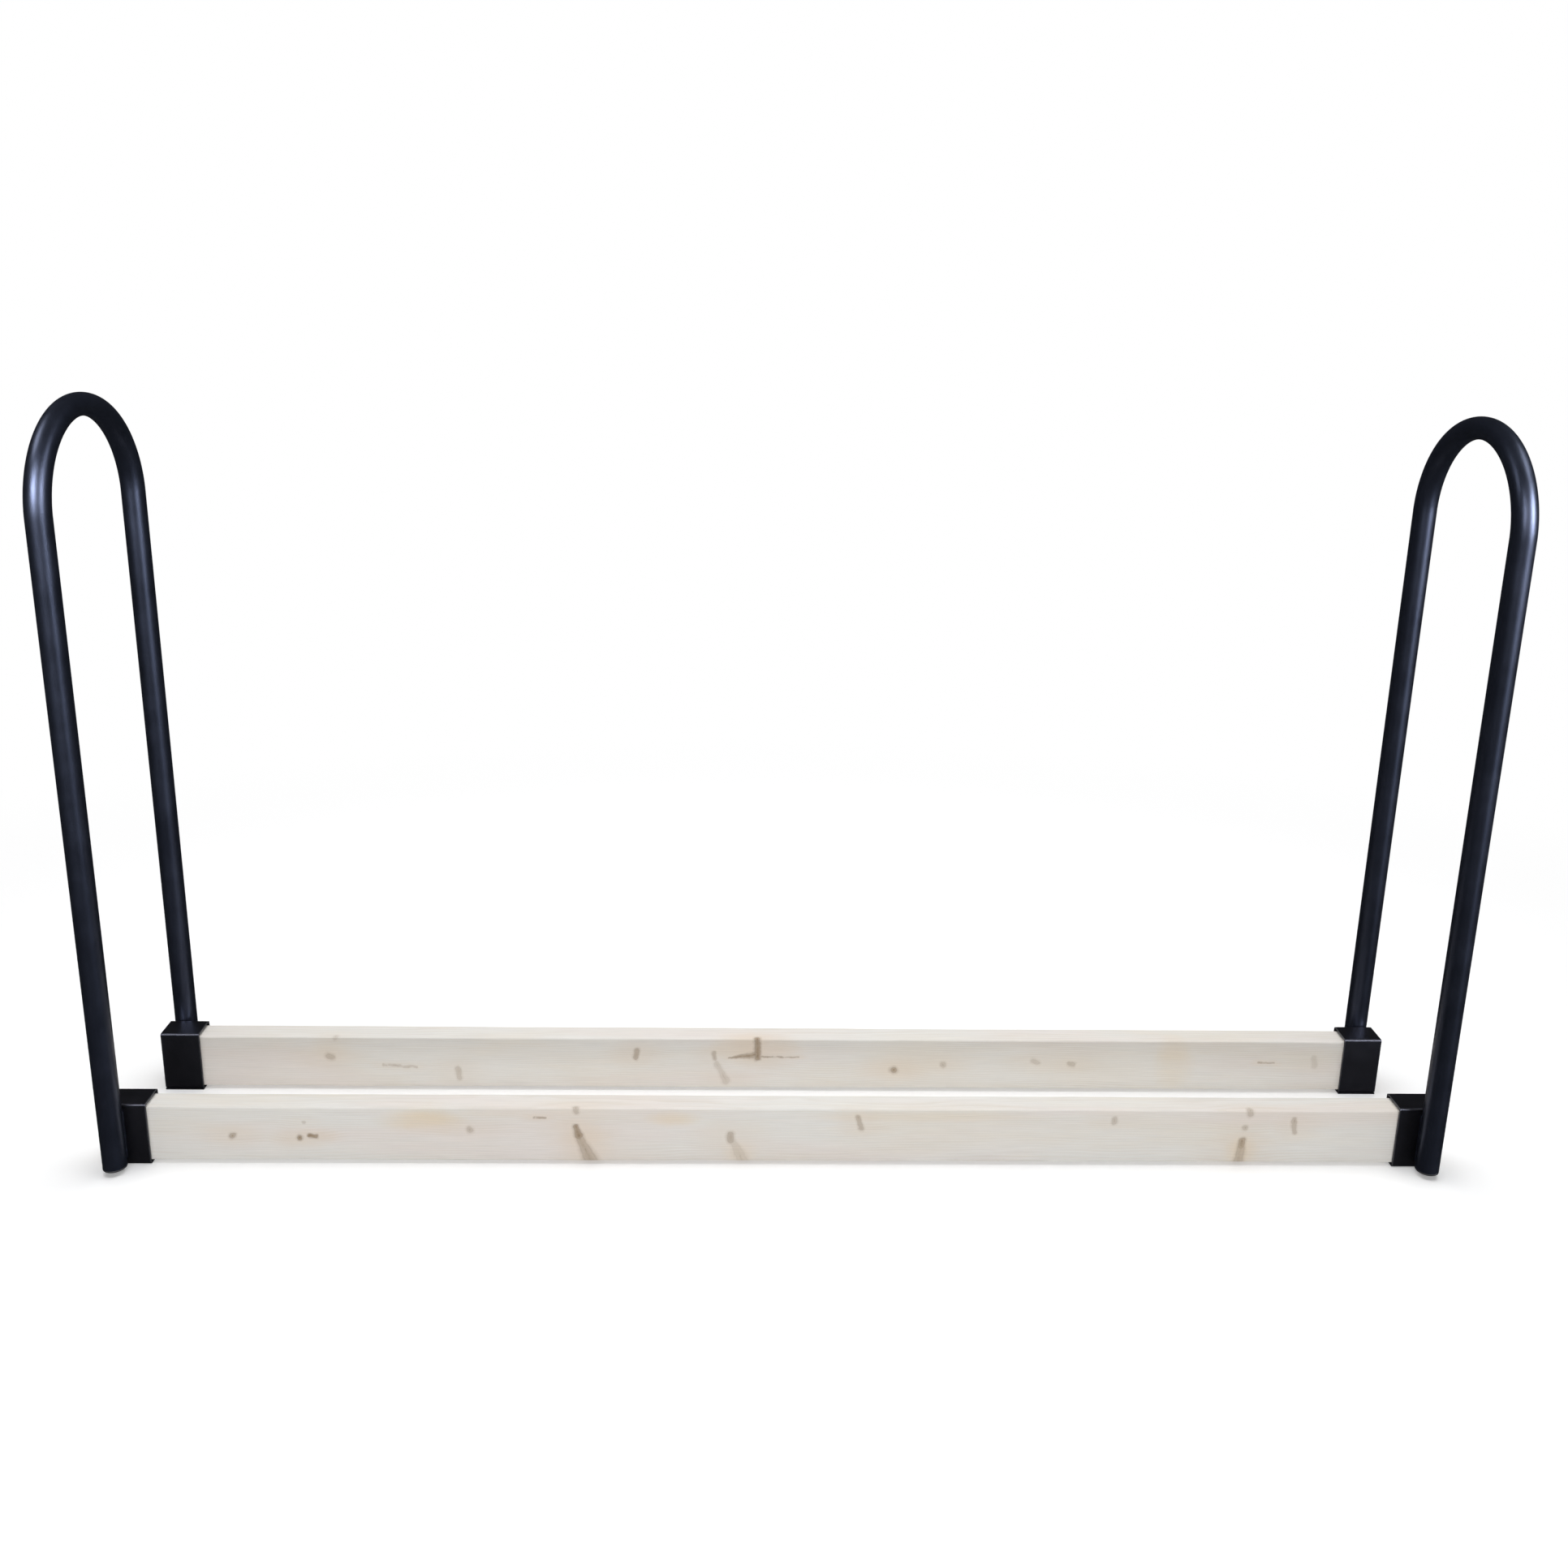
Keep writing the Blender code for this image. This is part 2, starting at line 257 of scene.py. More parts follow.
WOOD_COOL = (0.775, 0.755, 0.715)
WOOD_WARM = (0.775, 0.650, 0.480)
WOOD_ROSE = (0.780, 0.700, 0.660)
WOOD_LATE = (0.640, 0.570, 0.470)
WOOD_HALO = (0.720, 0.570, 0.420)
WOOD_KNOT = (0.340, 0.245, 0.155)
WOOD_KNOT_RING = (0.170, 0.115, 0.070)
END_GRAIN_EARLY = (0.62, 0.50, 0.36)
END_GRAIN_LATE = (0.36, 0.25, 0.15)
WOOD_SPECULAR = 0.30
WOOD_ROUGHNESS = (0.56, 0.70)
LATE_POLISH = 0.08

# Knots: distances are in knot radii.
KNOT_DRAWN_OUT = (0.38, 1.0, 1.0)
KNOT_HALO_REACH = (0.6, 4.5)
KNOT_CORE_EDGE = (0.05, 1.40)
KNOT_WAVES = 11.0
KNOT_WAVES_START = 0.9
KNOT_RING_RANGE = (-0.2, 1.0)
KNOT_RING_LEAST = 0.15
TORN_EDGES = {"Scale": 85.0, "Detail": 2.5, "Roughness": 0.55}
TORN_SIZE = 0.0065
HALO_SHARE = 0.36
RING_SHARE = 0.50

# Growth rings, in metres.
RING_PITCH = 0.0034
RING_SWAY = ((1.6, 9.0, 9.0), 3.0, 0.55)
RING_SWAY_SIZE = 0.030
RING_PUSH = 0.0042
LATE_RISE = (0.35, 0.88)
LATE_FALL = (0.90, 1.0)
LATE_BREAKS = ((6.0, 70.0, 70.0), 3.0)
LATE_BREAK_RANGE = (0.25, 0.75)
LATE_SHARE = 0.34
LATE_SHARE_SAWN = 0.75

# Fibres, resin canals and the slow changes of colour.
FIBRES = ((14.0, 900.0, 900.0), 4.0, 0.65)
FIBRE_SHADES = (0.93, 1.05)
CANALS = ((42.0, 1500.0, 1500.0), 2.0)
CANAL_RANGE = (0.66, 0.78)
CANAL_SHARE = 0.22
BLOTCHES = ((3.2, 16.0, 16.0), 4.0, 0.6)
BLOTCH_RANGE = (0.42, 0.76)
BLOTCH_WARMTH = 0.28
STAIN_EDGE = (0.15, 1.0)
STAIN_PATCH_RANGE = (0.25, 0.60)
STAIN_PATCH_LEAST = 0.55
ROSE_AREAS = ((2.1, 11.0, 11.0), 3.0, 0.5, 0.4)
ROSE_RANGE = (0.46, 0.72)
ROSE_SHARE = 0.55

# Sawn ends and machining marks.
SAWN_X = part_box("front_rail")[1].x
SAWN_STARTS = 0.0004
SAWN_FULL = 0.0001
PORES = (1900.0, 2.0)
PORE_RANGE = (0.35, 0.65)
PORE_SHADES = (0.82, 1.06)
SAW_SCRATCHES = ((1.0, 70.0, 1400.0), 2.0)
PLANER_PITCH = 0.0028
FIBRE_HEIGHT = 0.00006
LATE_HEIGHT = 0.00005
PLANER_HEIGHT = 0.000006
KNOT_HEIGHT = 0.00025
SAW_HEIGHT = 0.0003


def knot_group():
    """One knot, a tapering rod from Start along Along: core, halo and rings as one vector."""
    group = bpy.data.node_groups.new("knot", "ShaderNodeTree")
    for name, kind in (
        ("Position", "NodeSocketVector"),
        ("Start", "NodeSocketVector"),
        ("Along", "NodeSocketVector"),
        ("Radius", "NodeSocketFloat"),
        ("Growth", "NodeSocketFloat"),
        ("Strength", "NodeSocketFloat"),
    ):
        group.interface.new_socket(name, in_out="INPUT", socket_type=kind)
    group.interface.new_socket("Marks", in_out="OUTPUT", socket_type="NodeSocketVector")
    nodes = Nodes(group)
    given = nodes.add("NodeGroupInput").outputs
    reach = nodes.vector("SUBTRACT", given["Position"], given["Start"])
    share = nodes.math(
        "DIVIDE",
        nodes.vector("DOT_PRODUCT", reach, given["Along"]),
        nodes.vector("DOT_PRODUCT", given["Along"], given["Along"]),
        clamp=True,
    )
    away = nodes.vector("SUBTRACT", reach, nodes.scaled(given["Along"], share))
    radius = nodes.math("MULTIPLY_ADD", share, given["Growth"], given["Radius"])
    near = nodes.math("DIVIDE", nodes.vector("LENGTH", away), radius)
    drawn_out = nodes.vector("MULTIPLY", away, KNOT_DRAWN_OUT)
    wide = nodes.math("DIVIDE", nodes.vector("LENGTH", drawn_out), radius)
    halo = nodes.spread(wide, *KNOT_HALO_REACH, 1.0, 0.0)
    core = nodes.spread(near, *KNOT_CORE_EDGE, 1.0, 0.0)
    wave = nodes.math("SINE", nodes.math("MULTIPLY_ADD", near, KNOT_WAVES, KNOT_WAVES_START))
    rings = nodes.math("MULTIPLY", core, nodes.spread(wave, *KNOT_RING_RANGE, KNOT_RING_LEAST, 1.0))
    marks = nodes.scaled(nodes.join(core, halo, rings), given["Strength"])
    nodes.add("NodeGroupOutput", {"Marks": marks})
    return group


def spruce(name, pith, shift, knots, stains):
    """Planed spruce whose rings run round pith, a (y, z) line along the rail.

    knots are (start, end, radius, growth, strength) and stains are (place, reach, strength).
    """
    material, nodes, shader, position = new_material(name)
    moved = nodes.vector("ADD", position, shift)
    ragged = nodes.add("ShaderNodeTexNoise", {"Vector": moved, **TORN_EDGES}).outputs["Color"]
    jitter = nodes.scaled(nodes.vector("SUBTRACT", ragged, (0.5, 0.5, 0.5)), TORN_SIZE)
    torn = nodes.vector("ADD", position, jitter)

    marks = (0.0, 0.0, 0.0)
    for start, end, radius, growth, strength in knots:
        shape = {"Start": start, "Along": Vector(end) - Vector(start), "Radius": radius}
        shape.update({"Growth": growth, "Strength": strength})
        knot = nodes.add("ShaderNodeGroup", {"Position": torn, **shape}, node_tree=KNOT)
        marks = nodes.vector("MAXIMUM", knot.outputs["Marks"], marks)
    core, halo, rings = nodes.split(marks)

    # Growth rings: distance from a pith line that wanders, pushed aside round the knots.
    sway = nodes.math("MULTIPLY", nodes.stretched(moved, *RING_SWAY), RING_SWAY_SIZE)
    x, y, z = nodes.split(position)
    across = nodes.math("POWER", nodes.math("SUBTRACT", y, pith[0]), 2.0)
    above = nodes.math("POWER", nodes.math("SUBTRACT", z, pith[1]), 2.0)
    ring = nodes.math("SQRT", nodes.math("ADD", across, above))
    ring = nodes.math("ADD", ring, sway)
    ring = nodes.math("ADD", ring, nodes.math("MULTIPLY", halo, RING_PUSH))
    phase = nodes.math("FRACT", nodes.math("DIVIDE", ring, RING_PITCH))
    rising = nodes.spread(phase, *LATE_RISE)
    falling = nodes.spread(phase, *LATE_FALL, 1.0, 0.0)
    late = nodes.math("MULTIPLY", rising, falling)
    unbroken = nodes.spread(nodes.stretched(moved, *LATE_BREAKS), *LATE_BREAK_RANGE)
    late = nodes.math("MULTIPLY", late, unbroken)

    # Fibres, the darker resin canals among them, and slow changes of colour along the board.
    fibre = nodes.stretched(moved, *FIBRES)
    canals = nodes.spread(nodes.stretched(moved, *CANALS), *CANAL_RANGE)
    blotches = nodes.stretched(moved, *BLOTCHES)
    rose = nodes.stretched(moved, *ROSE_AREAS)

    warmth = nodes.spread(blotches, *BLOTCH_RANGE, 0.0, BLOTCH_WARMTH)
    for place, reach, strength in stains:
        offset = nodes.vector("DIVIDE", nodes.vector("SUBTRACT", torn, place), reach)
        stain = nodes.spread(nodes.vector("LENGTH", offset), *STAIN_EDGE, strength, 0.0)
        patches = nodes.spread(blotches, *STAIN_PATCH_RANGE, STAIN_PATCH_LEAST, 1.0)
        warmth = nodes.math("MAXIMUM", warmth, nodes.math("MULTIPLY", stain, patches))
    colour = nodes.blend(warmth, WOOD_COOL, WOOD_WARM)
    colour = nodes.blend(nodes.spread(rose, *ROSE_RANGE, 0.0, ROSE_SHARE), colour, WOOD_ROSE)
    colour = nodes.blend(nodes.math("MULTIPLY", late, LATE_SHARE), colour, WOOD_LATE)
    colour = nodes.shaded(colour, nodes.spread(fibre, *MIDDLE, *FIBRE_SHADES, smooth=False))
    colour = nodes.blend(nodes.math("MULTIPLY", canals, CANAL_SHARE), colour, WOOD_HALO)
    colour = nodes.blend(nodes.math("MULTIPLY", halo, HALO_SHARE), colour, WOOD_HALO)
    colour = nodes.blend(core, colour, WOOD_KNOT)
    colour = nodes.blend(nodes.math("MULTIPLY", rings, RING_SHARE), colour, WOOD_KNOT_RING)

    # Sawn ends: end grain is darker, with the rings and the saw's marks standing out.
    sawn = nodes.spread(nodes.math("ABSOLUTE", x), SAWN_X - SAWN_STARTS, SAWN_X - SAWN_FULL)
    sawn_late = nodes.math("MULTIPLY", late, LATE_SHARE_SAWN)
    end_grain = nodes.blend(sawn_late, END_GRAIN_EARLY, END_GRAIN_LATE)
    pores = nodes.spread(nodes.noise(moved, *PORES), *PORE_RANGE, *PORE_SHADES, smooth=False)
    colour = nodes.blend(sawn, colour, nodes.shaded(end_grain, pores))

    roughness = nodes.spread(fibre, *MIDDLE, *WOOD_ROUGHNESS, smooth=False)
    roughness = nodes.math("SUBTRACT", roughness, nodes.math("MULTIPLY", late, LATE_POLISH))
    planer = nodes.math("SINE", nodes.math("MULTIPLY", x, 2 * math.pi / PLANER_PITCH))
    saw_marks = nodes.math("MULTIPLY", sawn, nodes.stretched(moved, *SAW_SCRATCHES))
    normal = nodes.relief(
        (fibre, FIBRE_HEIGHT),
        (late, LATE_HEIGHT),
        (planer, PLANER_HEIGHT),
        (core, KNOT_HEIGHT),
        (saw_marks, SAW_HEIGHT),
    )
    dress(nodes, shader, Base_Color=colour, Roughness=roughness, Normal=normal)
    shader.inputs["Specular IOR Level"].default_value = WOOD_SPECULAR
    return material


# ---------------------------------------------------------------- plastic and screws

PLASTIC_DARK = (0.016, 0.016, 0.018)
PLASTIC_LIGHT = (0.030, 0.030, 0.033)
PLASTIC_SCUFFED = (0.085, 0.082, 0.078)
PLASTIC_GRAIN = (1500.0, 3.0, 0.6)
PLASTIC_GRAIN_HEIGHT = 0.00005
PLASTIC_FLOW = (60.0, 3.0)
PLASTIC_SCUFFS = ((420.0, 1680.0, 420.0), 4.0)
PLASTIC_SCUFF_RANGE = (0.62, 0.74)
PLASTIC_SCUFF_SHARE = 0.5
PLASTIC_ROUGHNESS = (0.48, 0.62)
OXIDE_DARK = (0.030, 0.030, 0.033)
OXIDE_LIGHT = (0.065, 0.062, 0.060)
OXIDE_WORN = (0.32, 0.30, 0.28)
OXIDE_GRAIN = (900.0, 3.0, 0.6)
OXIDE_GRAIN_HEIGHT = 0.00003
OXIDE_WEAR = (380.0, 4.0, 0.7)
OXIDE_WEAR_RANGE = (0.55, 0.72)
OXIDE_WEAR_SHARE = 0.6
OXIDE_ROUGHNESS = (0.34, 0.50)


def moulded_plastic(name):
    """Black plastic with a fine moulded grain and pale scuffs."""
    material, nodes, shader, position = new_material(name)
    grain = nodes.noise(position, *PLASTIC_GRAIN)
    colour = nodes.blend(nodes.noise(position, *PLASTIC_FLOW), PLASTIC_DARK, PLASTIC_LIGHT)
    scuffs = nodes.spread(nodes.stretched(position, *PLASTIC_SCUFFS), *PLASTIC_SCUFF_RANGE)
    scuffing = nodes.math("MULTIPLY", scuffs, PLASTIC_SCUFF_SHARE)
    colour = nodes.blend(scuffing, colour, PLASTIC_SCUFFED)
    roughness = nodes.spread(grain, *MIDDLE, *PLASTIC_ROUGHNESS, smooth=False)
    normal = nodes.relief((grain, PLASTIC_GRAIN_HEIGHT))
    dress(nodes, shader, Base_Color=colour, Roughness=roughness, Normal=normal)
    return material


def black_oxide(name):
    """Blackened steel rubbed to bare metal in places."""
    material, nodes, shader, position = new_material(name)
    grain = nodes.noise(position, *OXIDE_GRAIN)
    worn = nodes.spread(nodes.noise(position, *OXIDE_WEAR), *OXIDE_WEAR_RANGE)
    colour = nodes.blend(grain, OXIDE_DARK, OXIDE_LIGHT)
    colour = nodes.blend(nodes.math("MULTIPLY", worn, OXIDE_WEAR_SHARE), colour, OXIDE_WORN)
    roughness = nodes.spread(grain, *MIDDLE, *OXIDE_ROUGHNESS, smooth=False)
    normal = nodes.relief((grain, OXIDE_GRAIN_HEIGHT))
    dress(nodes, shader, Base_Color=colour, Roughness=roughness, Normal=normal)
    shader.inputs["Metallic"].default_value = 1.0
    return material


# ---------------------------------------------------------------- mesh helpers

MERGE_DISTANCE = 1e-7
SMOOTH_ANGLE = 40.0
CUT_SMOOTH_ANGLE = 32.0


def mesh_object(name, points, faces, material, smooth_angle=SMOOTH_ANGLE):
    """A closed mesh with its normals outward, in metres, smooth up to an angle in degrees."""
    mesh = bpy.data.meshes.new(name)
    mesh.from_pydata([tuple(p) for p in points], [], faces)
    shape = bmesh.new()
    shape.from_mesh(mesh)
    bmesh.ops.remove_doubles(shape, verts=shape.verts, dist=MERGE_DISTANCE)
    bmesh.ops.recalc_face_normals(shape, faces=shape.faces)
    shape.to_mesh(mesh)
    shape.free()
    mesh.shade_smooth()
    mesh.set_sharp_from_angle(angle=math.radians(smooth_angle))
    mesh.materials.append(material)
    obj = bpy.data.objects.new(name, mesh)
    bpy.context.scene.collection.objects.link(obj)
    return obj


def lofted(rings, closed_along=False):
    """(points, faces) of a skin over rings of equal length; an open one gets flat end caps."""
    count = len(rings[0])
    points = [point for ring in rings for point in ring]
    faces = []
    for row in range(len(rings) - (0 if closed_along else 1)):
        after = (row + 1) % len(rings)
        for i in range(count):
            j = (i + 1) % count
            faces.append((row * count + i, row * count + j, after * count + j, after * count + i))
    if not closed_along:
        faces.append(tuple(range(count)))
        last = (len(rings) - 1) * count
        faces.append(tuple(last + i for i in range(count)))
    return points, faces


def circle(radius, z, sides):
    angles = [2 * math.pi * i / sides for i in range(sides)]
    return [(radius * math.cos(angle), radius * math.sin(angle), z) for angle in angles]


def turned(profile, sides):
    """(points, faces) of a (radius, z) profile that starts and ends on the axis, turned about Z."""
    return lofted([circle(radius, z, sides) for radius, z in profile])


def applied(obj):
    """Bakes the object's modifiers into its mesh."""
    bpy.context.view_layer.update()
    graph = bpy.context.evaluated_depsgraph_get()
    mesh = bpy.data.meshes.new_from_object(obj.evaluated_get(graph))
    obj.modifiers.clear()
    old = obj.data
    obj.data = mesh
    bpy.data.meshes.remove(old)
    return obj


def cut_away(obj, cutters):
    """Cuts the cutters out of obj and removes them."""
    for cutter in cutters:
        hole = obj.modifiers.new("hole", "BOOLEAN")
        hole.operation = "DIFFERENCE"
        hole.solver = "EXACT"
        hole.object = cutter
    applied(obj)
    for cutter in cutters:
        bpy.data.objects.remove(cutter, do_unlink=True)
    obj.data.shade_smooth()
    obj.data.set_sharp_from_angle(angle=math.radians(CUT_SMOOTH_ANGLE))


def finished(obj, slot, *nodes):
    """obj stands for the CAD nodes and belongs to the rack's one body."""
    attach(obj, "root")
    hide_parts(*nodes)
    return obj


# ---------------------------------------------------------------- uprights

TUBE_SIDES = 56
BEND_STEPS = 72
TUBE_WALL = 0.0015
TUBE_LIP = 0.0003
BEND_FLATTENING = 0.03
LEG_STATIONS = [0.25, 0.5, 0.75]


def upright(side, material):
    """The bent tube, a little flattened across the bend as a bent tube is."""
    node = f"{side}_upright_tube"
    low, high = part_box(node)
    radius = (high.x - low.x) / 2
    x = (low.x + high.x) / 2
    leg_y = high.y - radius
    bend_z = high.z - radius - leg_y

    def station(along, shrink):
        """A ring at along: 0 to 1 is the front leg, 1 to 2 the bend and 2 to 3 the rear leg."""
        turn = min(max(along - 1.0, 0.0), 1.0) * math.pi
        drop = bend_z - low.z
        if along < 1.0:
            centre = Vector((x, -leg_y, low.z + along * drop))
        elif along > 2.0:
            centre = Vector((x, leg_y, low.z + (3.0 - along) * drop))
        else:
            centre = Vector((x, -leg_y * math.cos(turn), bend_z + leg_y * math.sin(turn)))
        out = Vector((0.0, -math.cos(turn), math.sin(turn)))
        flat = 1.0 - BEND_FLATTENING * math.sin(turn) ** 0.5
        ring = []
        for i in range(TUBE_SIDES):
            angle = 2 * math.pi * i / TUBE_SIDES
            r = radius - shrink
            away = radius * (1.0 - flat) + r * flat * math.cos(angle)
            ring.append(centre + out * away + Vector((r * math.sin(angle), 0, 0)))
        return ring

    lip = TUBE_LIP / (bend_z - low.z)
    bend = [1.0 + step / BEND_STEPS for step in range(BEND_STEPS + 1)]
    along = LEG_STATIONS + bend + [3.0 - a for a in reversed(LEG_STATIONS)]
    rings = [station(0.0, TUBE_LIP), station(lip, 0.0)]
    rings += [station(a, 0.0) for a in along]
    rings += [station(3.0 - lip, 0.0), station(3.0, TUBE_LIP)]
    rings += [station(a, TUBE_WALL) for a in [3.0, *reversed(along), 0.0]]
    obj = mesh_object(f"{side}_upright", *lofted(rings, closed_along=True), material)
    return finished(obj, "powder_coat", node)


# ---------------------------------------------------------------- sockets

SHEET = 0.0025
FOLD_INSIDE = 0.0009
LAP_SLIT = 0.00012
CUT_EDGE = 0.0003
FOLD_STEPS = 10
HOLE_PLAY = 0.0003
CUTTER_SIDES = 40


def folded_strip(corners, thickness, rounding):
    """Pairs of points either side of a path with rounded corners, as sheet of that thickness."""
    pairs = []

    def pair(point, direction):
        across = Vector((-direction.y, direction.x)) * (thickness / 2)
        pairs.append((point + across, point - across))

    for i, corner in enumerate(corners):
        if i == 0:
            pair(corner, (corners[1] - corner).normalized())
            continue
        before = (corner - corners[i - 1]).normalized()
        if i == len(corners) - 1:
            pair(corner, before)
            continue
        after = (corners[i + 1] - corner).normalized()
        start = corner - before * rounding
        centre = start + after * rounding
        for step in range(FOLD_STEPS + 1):
            angle = math.radians(90) * step / FOLD_STEPS
            back, onward = rounding * math.cos(angle), rounding * math.sin(angle)
            point = centre - after * back + before * onward
            pair(point, before * math.cos(angle) + after * math.sin(angle))
    return pairs


def socket(side, end, material):
    """A sleeve folded from one strip, lapped under the rail, with two countersunk holes."""
    node = f"{side}_{end}_socket"
    low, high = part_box(node)
    middle = (low.y + high.y) / 2
    inward = -1.0 if middle > 0 else 1.0
    wall = (high.y - low.y) / 2 - SHEET / 2
    rounding = FOLD_INSIDE + SHEET / 2
    lap_z = 1.5 * SHEET + LAP_SLIT

    def section(x, shrink):
        corners = [
            Vector((-(wall - SHEET), lap_z)),
            Vector((wall, lap_z)),
            Vector((wall, high.z - SHEET / 2)),
            Vector((-wall, high.z - SHEET / 2)),
            Vector((-wall, SHEET / 2)),
            Vector((wall + SHEET / 2 - shrink, SHEET / 2)),
        ]
        pairs = folded_strip(corners, SHEET - 2 * shrink, rounding)
        loop = [left for left, _ in pairs] + [right for _, right in reversed(pairs)]
        return [Vector((x, middle + inward * p.x, p.y)) for p in loop]

    stations = (
        (low.x, CUT_EDGE),
        (low.x + CUT_EDGE, 0.0),
        (high.x - CUT_EDGE, 0.0),
        (high.x, CUT_EDGE),
    )
    rings = [section(x, shrink) for x, shrink in stations]
    points, faces = lofted(rings)
    faces = faces[:-2]
    count = len(rings[0])
    for first in (0, (len(rings) - 1) * count):
        for i in range(count // 2 - 1):
            j = count - 1 - i
            faces.append((first + i, first + i + 1, first + j - 1, first + j))
    obj = mesh_object(f"{side}_{end}_sleeve", points, faces, material)
    cut_away(obj, [countersink(f"{side}_{end}_screw_{number}") for number in (1, 2)])
    return finished(obj, "powder_coat", node)


def countersink(screw):
    """A cutter the shape of the screw's head and shank, with some play."""
    low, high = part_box(screw)
    centre = (low + high) / 2
    head = (high.x - low.x) / 2 + HOLE_PLAY
    shank = SCREW_SHANK + HOLE_PLAY
    neck = low.z + SCREW_HEAD_HEIGHT + HOLE_PLAY
    above, below = neck + 4 * SHEET, low.z - 2 * SHEET
    profile = [(0.0, above), (shank, above), (shank, neck)]
    profile += [(head, low.z + HOLE_PLAY), (head, below), (0.0, below)]
    points, faces = turned(profile, CUTTER_SIDES)
    cutter = mesh_object("cutter", points, faces, MATERIALS["coat"])
    cutter.data.transform(Matrix.Translation((centre.x, centre.y, 0.0)))
    return cutter


# ---------------------------------------------------------------- welds

BEAD_RADIUS = 0.0029
BEAD_ALONG_FACE = 0.0094
BEAD_OFF_FACE = 0.0017
RIPPLE_PITCH = 0.0023
RIPPLE_DEPTH = 0.16
RIPPLE_STEPS = 7
BEAD_SIDES = 18
BEAD_TAPER = 0.0032
BEAD_BLUNT = 0.0004
BEAD_SMOOTH_ANGLE = 60.0
RIPPLE_SWEEP = 0.45
RIPPLE_SHARPNESS = 2.2
# Unevenness along a bead: (share of its radius, waves per 2 pi metres, shift between beads).
BEAD_SWELL = (0.05, 210.0, 9.0)
BEAD_TREMBLE = (0.04, 517.0, 40.0)


def weld(side, end, place, material):
    """A bead of overlapping ripples in the nook between the leg and its socket."""
    node = f"{side}_{end}_{place}_weld"
    low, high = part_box(node)
    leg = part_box(f"{side}_upright_tube")
    leg_x = (leg[0].x + leg[1].x) / 2
    toward = 1.0 if (low.x + high.x) / 2 > leg_x else -1.0
    outward = -1.0 if high.y < 0 else 1.0
    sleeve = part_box(f"{side}_{end}_socket")
    face_y = sleeve[0].y if outward < 0 else sleeve[1].y
    centre = Vector((leg_x + toward * BEAD_ALONG_FACE, face_y + outward * BEAD_OFF_FACE, 0.0))
    length = high.z - low.z
    rows = round(length / RIPPLE_PITCH * RIPPLE_STEPS)
    rings = []
    for row in range(rows + 1):
        share = row / rows
        z = low.z + share * length
        ends = min(share, 1.0 - share) * length
        taper = math.sqrt(min(1.0, (ends + BEAD_BLUNT) / BEAD_TAPER))
        drift = 1.0
        for (size, rate, shift), place_on_rack in ((BEAD_SWELL, leg_x), (BEAD_TREMBLE, face_y)):
            drift += size * math.sin(z * rate + place_on_rack * shift)
        ring = []
        for i in range(BEAD_SIDES):
            angle = 2 * math.pi * i / BEAD_SIDES
            facing = math.cos(angle - math.radians(45))
            phase = (z / RIPPLE_PITCH - RIPPLE_SWEEP * (1.0 - facing)) % 1.0
            ripple = 1.0 - RIPPLE_DEPTH * abs(2 * phase - 1.0) ** RIPPLE_SHARPNESS
            r = BEAD_RADIUS * taper * drift * ripple
            ring.append(
                centre + Vector((toward * r * math.cos(angle), outward * r * math.sin(angle), z))
            )
        rings.append(ring)
    obj = mesh_object(f"{side}_{end}_{place}_bead", *lofted(rings), material, BEAD_SMOOTH_ANGLE)
    return finished(obj, "powder_coat", node)


# ---------------------------------------------------------------- rails

RAIL_EDGE = 0.0030
RAIL_EDGE_STEPS = 8
RAIL_ROWS = 240
RAIL_END_EDGE = 0.0006
RAIL_WAVE = 0.00018
RAIL_EASE_CHANGE = 0.12
RAIL_SMOOTH_ANGLE = 50.0
# Slow waves along a rail: (radians per metre along X, radians per metre of the rail's own Y).
FACE_WAVE = (17.0, 31.0)
TOP_WAVE = (41.0, 77.0)
EDGE_WAVE = (9.0, 50.0)


def rail(end, material):
    """A planed board with eased edges and the slight waviness of soft lumber."""
    node = f"{end}_rail"
    low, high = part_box(node)
    centre = (low + high) / 2
    half_y = (high.y - low.y) / 2
    half_z = (high.z - low.z) / 2

    def wave(x, rates):
        return math.sin(x * rates[0] + centre.y * rates[1])

    def section(x, shrink):
        thinner = RAIL_WAVE * (0.5 + 0.5 * wave(x, FACE_WAVE))
        lower = RAIL_WAVE * (0.5 + 0.5 * wave(x, TOP_WAVE))
        ease = RAIL_EDGE * (1.0 + RAIL_EASE_CHANGE * wave(x, EDGE_WAVE))
        ring = []
        for quarter in range(4):
            sign_y = 1 if quarter in (0, 3) else -1
            sign_z = 1 if quarter in (0, 1) else -1
            for step in range(RAIL_EDGE_STEPS + 1):
                angle = math.radians(90) * (quarter + step / RAIL_EDGE_STEPS)
                y = sign_y * (half_y - ease) + ease * math.cos(angle)
                z = sign_z * (half_z - ease) + ease * math.sin(angle)
                y *= 1.0 - (thinner + shrink) / half_y
                z *= 1.0 - (lower + shrink) / half_z
                ring.append(Vector((x, centre.y + y, centre.z + z)))
        return ring

    rings = [section(low.x, RAIL_END_EDGE)]
    first, last = low.x + RAIL_END_EDGE, high.x - RAIL_END_EDGE
    for row in range(RAIL_ROWS + 1):
        rings.append(section(first + (last - first) * row / RAIL_ROWS, 0.0))
    rings.append(section(high.x, RAIL_END_EDGE))
    obj = mesh_object(f"{end}_board", *lofted(rings), material, RAIL_SMOOTH_ANGLE)
    return finished(obj, "lumber", node)


# ---------------------------------------------------------------- foot caps

CAP_STEM_WALL = 0.0016
CAP_RIBS = 4
CAP_RIB_HEIGHT = 0.0009
CAP_EDGE = 0.0008
CAP_EDGE_STEPS = 6
CAP_CHAMFER = 0.0004
CAP_SIDES = 56
CAP_SMOOTH_ANGLE = 38.0
